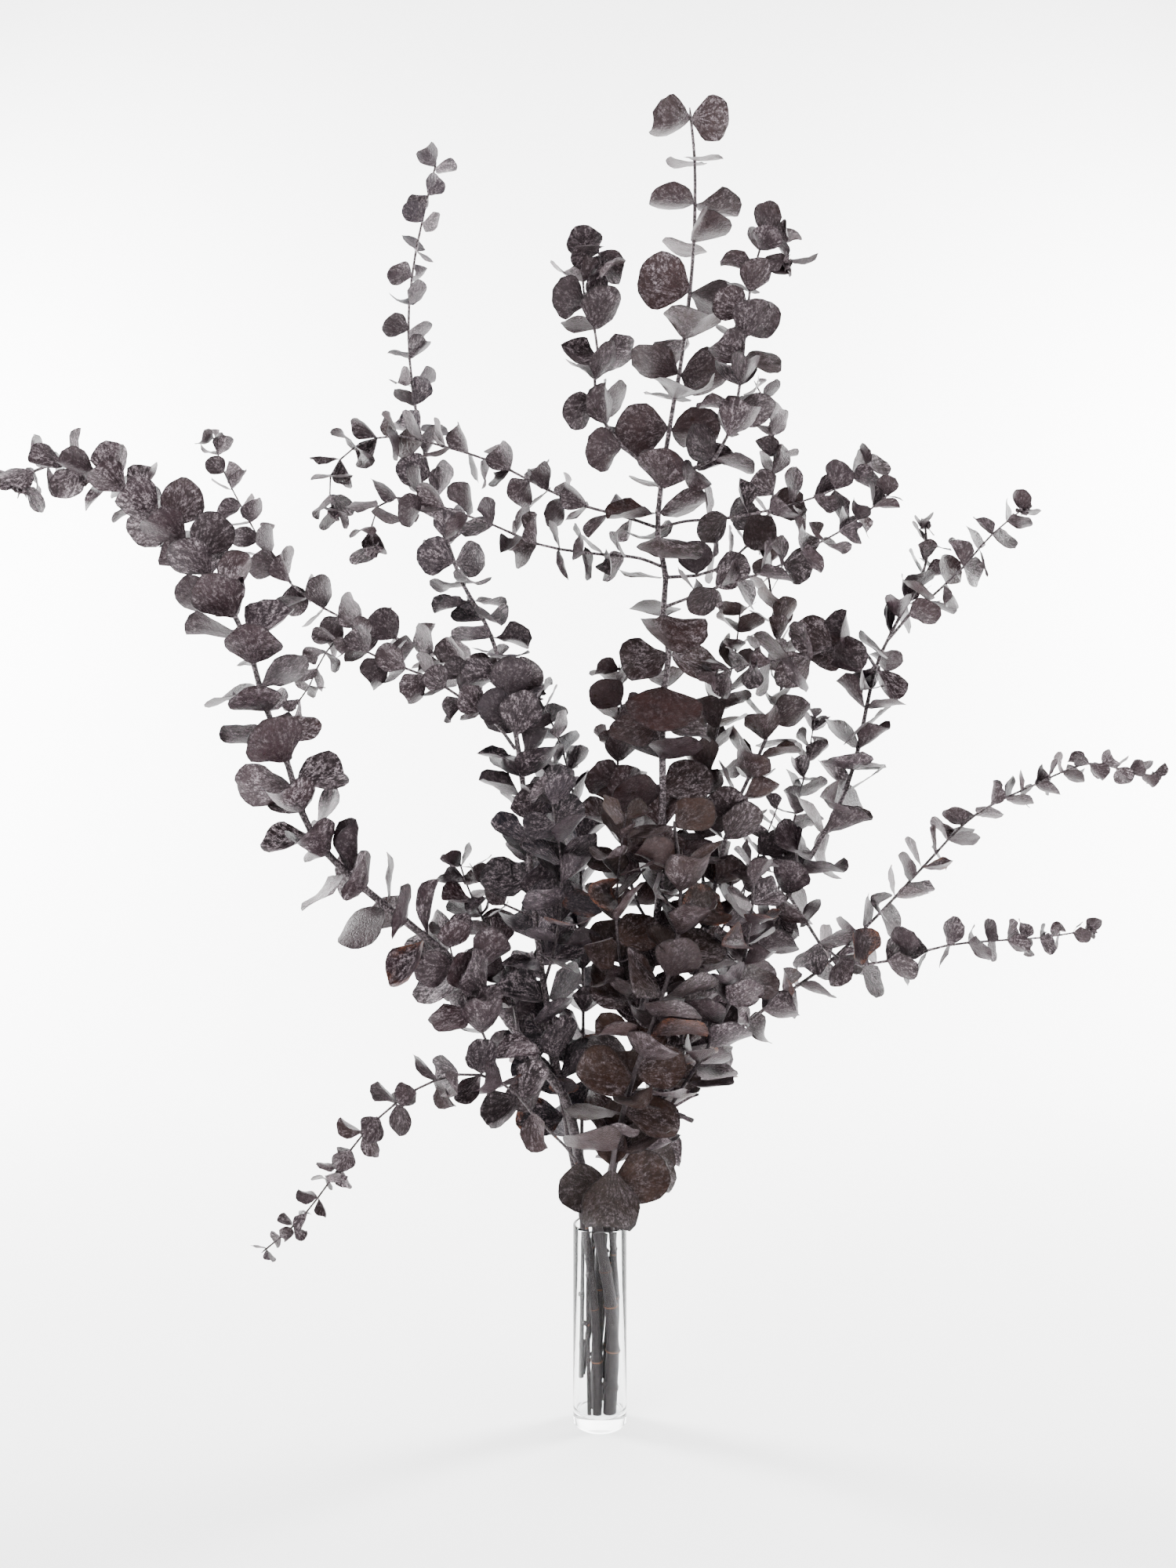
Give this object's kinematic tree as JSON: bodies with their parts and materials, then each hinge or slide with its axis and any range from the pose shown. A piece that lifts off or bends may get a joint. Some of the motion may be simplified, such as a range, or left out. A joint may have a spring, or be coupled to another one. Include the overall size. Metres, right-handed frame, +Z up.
{
  "type": "eucalyptus branches in a glass vase",
  "caption": "Preserved eucalyptus branches with round paired leaves, standing loose in a slim clear glass cylinder vase.",
  "frame": {"origin": "middle of the vase's foot, on the surface that it stands on", "axes": "+Z up along the vase, -Y to the front, +X to the right as seen from the front"},
  "size_m": [0.9128, 0.2619, 0.9832],
  "materials": {
    "leafy_branch": "dry, dusty leaf and bark",
    "leaf": "preserved leaf with a dusty bloom",
    "bark": "dry bark with a pale bloom",
    "glass": "clear, polished"
  },
  "bodies": {
    "root": {"glass_vase": "glass", "centre_stem": "leafy_branch", "left_arch_stem": "leafy_branch", "right_stem": "leafy_branch", "upright_left_stem": "leafy_branch", "centre_right_stem": "leafy_branch", "right_arch_stem": "leafy_branch", "low_left_stem": "leafy_branch", "slender_stem": "leafy_branch", "front_stem": "leafy_branch", "front_right_stem": "leafy_branch", "centre_shoot_high_left": "leafy_branch", "centre_shoot_low_left": "leafy_branch", "centre_shoot_up_left": "leafy_branch", "centre_shoot_up_right": "leafy_branch", "centre_shoot_right_tall": "leafy_branch", "centre_shoot_right_mid": "leafy_branch", "centre_shoot_right_low": "leafy_branch", "upright_left_shoot_outer": "leafy_branch", "upright_left_shoot_inner": "leafy_branch", "upright_left_shoot_small": "leafy_branch", "right_shoot_upper": "leafy_branch", "right_shoot_inner": "leafy_branch", "right_shoot_low": "leafy_branch", "right_shoot_young": "leafy_branch", "centre_right_shoot_young": "leafy_branch", "low_left_shoot": "leafy_branch", "upright_left_shoot_low": "leafy_branch", "centre_right_shoot_inner": "leafy_branch", "centre_shoot_mid_left": "leafy_branch", "centre_shoot_front_left": "leafy_branch", "slender_shoot_left": "leafy_branch", "upright_left_shoot_front": "leafy_branch", "left_arch_shoot_low": "leafy_branch", "centre_right_shoot_low": "leafy_branch"}
  },
  "joints": []
}
